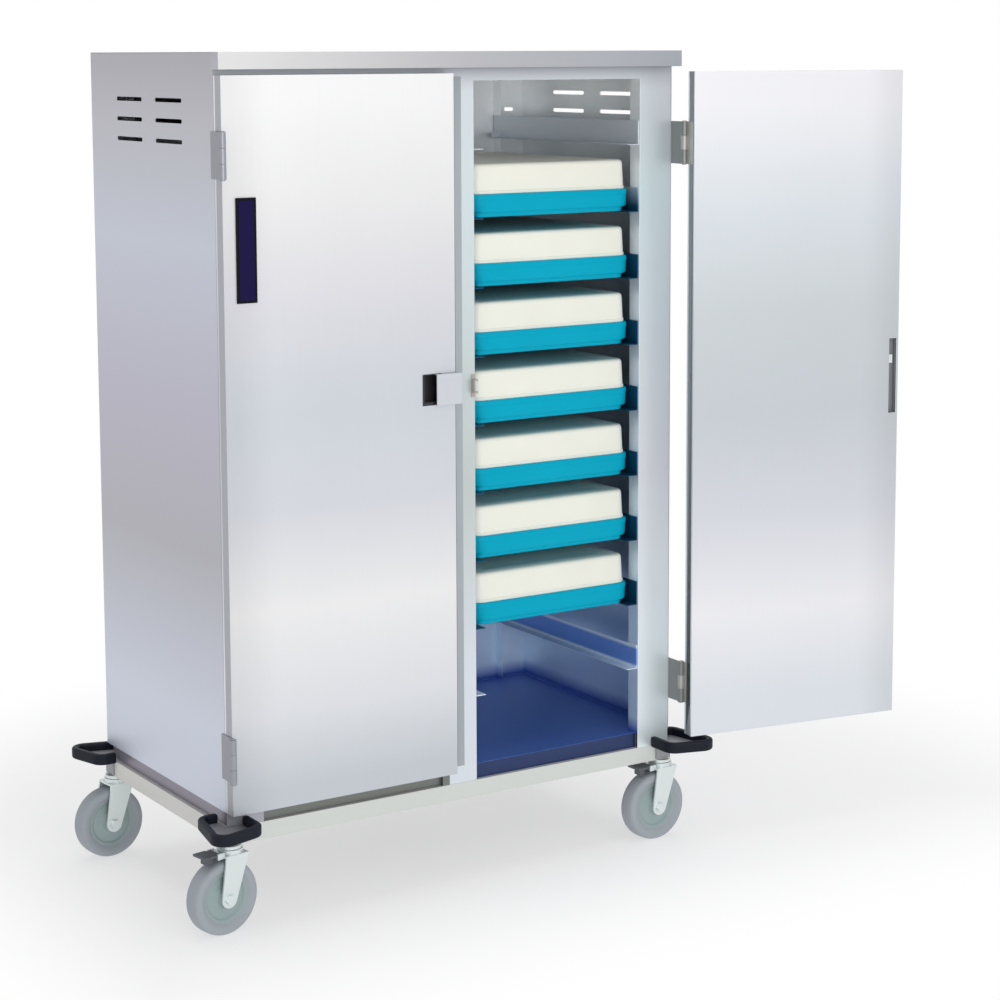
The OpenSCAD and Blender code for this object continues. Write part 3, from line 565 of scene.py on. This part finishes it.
def round_rectangle(half_x, half_y, radius):
    """Rectangle with round corners: each corner's centre plus radius times the unit circle."""
    turn = np.linspace(0, math.pi / 2, CORNER_STEPS)
    corners = []
    for quarter, (sx, sy) in enumerate(((1, 1), (-1, 1), (-1, -1), (1, -1))):
        angle = turn + quarter * math.pi / 2
        corners.append(np.stack([sx * (half_x - radius) + radius * np.cos(angle),
                                 sy * (half_y - radius) + radius * np.sin(angle)], 1))
    return np.concatenate(corners)


def stack(low, high, radius, levels):
    """Rounded rectangles one over the other: each level is (height, inset); both ends closed."""
    centre = (np.array(low) + np.array(high)) / 2
    half = (np.array(high) - np.array(low)) / 2
    rows = []
    for height, inset in levels:
        corner = max(radius - inset, LEAST_RADIUS)
        outline = round_rectangle(half[0] - inset, half[1] - inset, corner) + centre[:2]
        rows.append(np.column_stack([outline, np.full(len(outline), low[2] + height)]))
    cols = len(rows[0])
    faces = grid_faces(len(rows), cols, False)
    faces.append(list(range(cols)))
    faces.append(list(range((len(rows) - 1) * cols, len(rows) * cols)))
    return np.array(rows), faces


# ---- meal trays ----

# Millimetres up from the bottom or down from the top, and millimetres in from the widest line.
BASE_FOOT = [(0, 11), (0.8, 9.6), (2, 9), (6, 9), (8, 7.5), (9, 3), (11.5, 1.2)]
BASE_RIM = [(10, 0.8), (9, 0), (2.5, 0), (0.8, 0.7), (0, 2.4), (0, 16)]
LID_RIM = [(0, 3), (0, 0.8), (0.8, 0), (5, 0), (6, 1.4)]
LID_TOP = [(7, 3.4), (3.5, 4.4), (1.2, 6.6), (0.3, 9.5), (0, 13), (0, 34), (2, 38), (2, 60)]
BASE_CORNER = 28 * MM
LID_CORNER = 23 * MM


def moulded(node, body, corner, from_bottom, from_top, finish):
    """A tray's base or lid: rounded rectangles stacked up its wall, in place of its CAD node."""
    low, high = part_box(node)
    tall = high.z - low.z
    levels = ([(up * MM, inset * MM) for up, inset in from_bottom]
              + [(tall - down * MM, inset * MM) for down, inset in from_top])
    points, faces = stack(low, high, corner, levels)
    piece = add_piece(node + "_moulded", points, faces, body, finish, MOULDED_SHARP)
    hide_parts(node)


def make_trays():
    teal = plastic("tray_teal", (0, 163, 192), 0.38, specular=0.06)
    cream = plastic("lid_cream", (233, 233, 222), 0.38, specular=0.35)
    for i in TRAYS:
        moulded(f"tray_base_{i}", f"tray_{i}", BASE_CORNER, BASE_FOOT, BASE_RIM,
                teal)
        moulded(f"tray_lid_{i}", f"tray_{i}", LID_CORNER, LID_RIM, LID_TOP,
                cream)


# ---- casters ----

# Millimetres in from the tread or out from the axle, and half the width there.
TYRE_SIDE = [(24, 11), (18, 13.5), (15, 15.8), (9, 16.8), (5, 16.6), (2, 14.6), (0.5, 11), (0, 6)]
HUB_SIDE = [(5.1, 19), (13, 19), (15, 18), (16, 12), (20, 9.5), (36, 8.5), (38.5, 11.5)]
RIM_SIDE = [(22, 12.4), (19.5, 11.5)]
RIM_EDGE = (47, 6)


def both_sides(side):
    """A closed profile: one side's (radius, half width), then its mirror image."""
    return side + [(radius, -half) for radius, half in reversed(side)]


def from_tread(radius, side):
    return [(radius - inwards * MM, half * MM) for inwards, half in side]


def from_axle(side):
    return [(outwards * MM, half * MM) for outwards, half in side]


def make_wheel(name, tyre_grey, core_grey):
    """Tyre in place of the CAD wheel, and the core that it is bonded to."""
    low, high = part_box(name + "_wheel")
    centre = (low + high) / 2
    radius = (high.z - low.z) / 2
    axle = Vector(joints[name + "_roll"]["axis"]).normalized()
    body = name + "_roller"
    points, faces = lathe(both_sides(from_tread(radius, TYRE_SIDE)), centre, axle)
    tyre = add_piece(name + "_tyre", points, faces, body, tyre_grey, TURNED_SHARP)
    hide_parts(name + "_wheel")
    side = from_axle(HUB_SIDE) + from_tread(radius, RIM_SIDE) + from_axle([RIM_EDGE])
    points, faces = lathe(both_sides(side), centre, axle)
    add_piece(name + "_core", points, faces, body, core_grey, TURNED_SHARP)


def dress_casters(zinc):
    pedal = plastic("pedal_plastic", (88, 92, 98), 0.45, specular=0.3)
    tyre = plastic("tyre_grey", (158, 165, 171), 0.55, specular=0.3)
    core = plastic("core_grey", (152, 168, 168), 0.45, specular=0.3)
    softened("caster_stems", zinc, edge=0.4 * MM)
    for name in CASTERS:
        softened(name + "_fork", zinc, edge=1.0 * MM)
        softened(name + "_axle", zinc, edge=0.6 * MM)
        make_wheel(name, tyre, core)
    for name in BRAKED_CASTERS:
        softened(name + "_brake_pedal", pedal, edge=0.8 * MM)


# ---- cabinet ----

def make_post_strip(seal):
    """Grey strip on the front face of the centre post, a little to the right of the closed left
    door's edge.

    It is a stack of four rounded rectangles, drawn in by the rounding at both ends.
    """
    low = (DOOR_END + 16 * MM, FRONT - 1.5 * MM, BODY_Z + 4 * MM)
    high = (DOOR_END + 30 * MM, FRONT + 0.3 * MM, DOOR_TOP - 6 * MM)
    rounding = 0.4 * MM
    tall = high[2] - low[2]
    levels = [(0, rounding), (rounding, 0), (tall - rounding, 0), (tall, rounding)]
    points, faces = stack(low, high, 2 * rounding, levels)
    add_piece("centre_post_strip", points, faces, "cabinet", seal, TURNED_SHARP)


def dress_cabinet(hinge_zinc):
    side = side_steel()
    inner_steel = bay_steel("inner_steel", PAINTED_BAY_REFLECTION)
    left_inner_steel = bay_steel("left_inner_steel", PAINTED_BAY_SHADE)
    rail_steel = bay_steel("rail_steel", RAIL_PAINTED_LIGHT)
    keeper_steel = plain_steel("keeper_steel", (176, 168, 160), 0.4)
    for node in ("left_side_panel", "right_side_panel", "back_panel"):
        softened(node, side, edge=0.6 * MM)
    softened("top_cap", cap_steel(), edge=1.2 * MM, steps=3)
    softened("front_frame", post_steel(), edge=0.5 * MM)
    for node in ("centre_partition", "rear_uprights"):
        softened(node, inner_steel, edge=0.4 * MM)
    softened("right_bay_rails", rail_steel, edge=0.4 * MM)
    softened("left_bay_rails", left_inner_steel, edge=0.4 * MM)
    softened("floor_pan", floor_steel(), edge=0.6 * MM)
    softened("latch_keepers", keeper_steel, edge=0.5 * MM)
    softened("hinge_frame_leaves", hinge_zinc, edge=0.5 * MM)
    make_post_strip(plastic("post_strip_grey", (164, 171, 176), 0.5))


def dress_base():
    plate_steel = plain_steel("plate_steel", (150, 152, 156), 0.42)
    rubber = plastic("black_rubber", (13, 18, 31), 0.55, specular=0.22)
    softened("base_frame", base_steel(), edge=1.5 * MM, steps=3)
    softened("corner_plates", plate_steel, edge=0.8 * MM)
    softened("corner_bumpers", rubber, edge=4.0 * MM, steps=4)


# ---- doors ----

def dress_doors(zinc, knuckle_zinc):
    outer, inner = door_steel(), liner_steel()
    # The same door seal in two painted tones of light and shade, lighter on the closed left door.
    seals = {"left": plastic("left_seal_grey", (172, 173, 180), 0.5),
             "right": plastic("right_seal_grey", (134, 138, 143), 0.5)}
    paddle_steel = plain_steel("paddle_steel", (200, 204, 210), 0.36)
    black = plastic("black_plastic", (26, 26, 32), 0.4)
    for side in SIDES:
        softened(side + "_door_skin", outer, edge=1.0 * MM, steps=3)
        softened(side + "_door_liner", inner, edge=1.0 * MM, steps=3)
        softened(side + "_door_seal", seals[side], edge=0.5 * MM)
        softened(side + "_door_leaves", knuckle_zinc, edge=0.4 * MM)
        softened(side + "_latch_housing", black, edge=0.4 * MM)
        softened(side + "_latch_paddle", paddle_steel, edge=0.5 * MM)
        softened(side + "_latch_bolt", zinc, edge=0.4 * MM)
    softened("hinge_pins", knuckle_zinc, edge=0.4 * MM)
    softened("plate_holder", holder_plastic(), edge=0.6 * MM)


def dress_cart():
    zinc = plain_steel("zinc", (220, 228, 228), 0.32, metal=0.6)
    # One zinc in two painted tones of light and shade, at the left door and at the right.
    hinge_zinc = hinge_steel("hinge_zinc", left=(147, 149, 157), right=(130, 132, 131))
    knuckle_zinc = hinge_steel("knuckle_zinc", left=(149, 151, 159), right=(172, 172, 166))
    dress_cabinet(hinge_zinc)
    dress_base()
    dress_doors(zinc, knuckle_zinc)
    make_trays()
    dress_casters(zinc)


# ---- studio ----

WHITE = (1, 1, 1, 1)
WORLD_LIGHT = 0.5
FLOOR_SIZE = 60.0
FLOOR_WHITE = (0.93, 0.93, 0.94, 1)
FLOOR_GLOW = 0.54  # share of plain white in the floor near the cart, where its shadow lies
# Where the floor turns plain white, from the first distance to the second.
WHITE_ROUND = (0.8, 1.5)
WHITE_AHEAD = (-0.15, -0.75)
WHITE_LEFT = (-0.68, -1.1)
LAMPS = {  # place, point aimed at, side of the square, watts
    "front_soft": ((0.8, -4.5, 3.4), (0, 0, 0.9), 3.0, 30),
    "bay_soft": ((-1.2, -4.2, 1.2), (0, 0, 0.8), 1.5, 44),
    "top_soft": ((0.0, 0.5, 4.5), (0, 0, 0.5), 4.0, 60),
}


def make_world():
    """White to the camera, to gloss and through glass, and plain grey light for all else."""
    world = bpy.data.worlds.new("studio")
    bpy.context.scene.world = world
    shader = Shader(world)
    rays = shader.tree.nodes.new("ShaderNodeLightPath").outputs
    seen = Value(shader, rays["Is Camera Ray"])
    for name in ("Is Glossy Ray", "Is Transmission Ray"):
        seen = seen.larger(Value(shader, rays[name]))
    strength = shader.node("Mix", {"data_type": "FLOAT"}, {0: seen, 2: WORLD_LIGHT, 3: 1.0})
    background = shader.tree.nodes["Background"]
    background.inputs["Color"].default_value = WHITE
    shader.join(strength, background.inputs["Strength"])


def make_floor():
    """A wide pale sheet that holds the cart's shadow, and turns plain white away from it."""
    half = FLOOR_SIZE / 2
    mesh = bpy.data.meshes.new("floor")
    corners = [(-half, -half, 0), (half, -half, 0), (half, half, 0), (-half, half, 0)]
    mesh.from_pydata(corners, [], [(0, 1, 2, 3)])
    finish = Finish("floor_white", base_color=FLOOR_WHITE, roughness=0.9, specular_ior_level=0.0)
    away = finish.node("VectorMath", {"operation": "LENGTH"}, {0: finish.place}, output="Value")
    ahead = finish.axis("Y").between(*WHITE_AHEAD)
    left = finish.axis("X").between(*WHITE_LEFT)
    bare = away.between(*WHITE_ROUND).larger(ahead).larger(left)
    glow = finish.node("Emission", inputs={"Color": WHITE})
    painted = Value(finish, finish.principled.outputs[0])
    share = FLOOR_GLOW + bare * (1 - FLOOR_GLOW)
    mixed = finish.node("MixShader", inputs={0: share, 1: painted, 2: glow})
    finish.join(mixed, finish.tree.nodes["Material Output"].inputs["Surface"])
    mesh.materials.append(finish.material)
    floor = bpy.data.objects.new("floor", mesh)
    bpy.context.scene.collection.objects.link(floor)


def make_lamp(name, at, aim, size, watts):
    data = bpy.data.lights.new(name, "AREA")
    data.shape = "SQUARE"
    data.size = size
    data.energy = watts
    lamp = bpy.data.objects.new(name, data)
    lamp.location = at
    lamp.rotation_euler = (Vector(aim) - Vector(at)).to_track_quat("-Z", "Y").to_euler()
    bpy.context.scene.collection.objects.link(lamp)


def make_studio():
    make_world()
    make_floor()
    for name, (at, aim, size, watts) in LAMPS.items():
        make_lamp(name, at, aim, size, watts)
    bpy.context.scene.view_settings.view_transform = "Standard"


make_camera()
dress_cart()
make_studio()
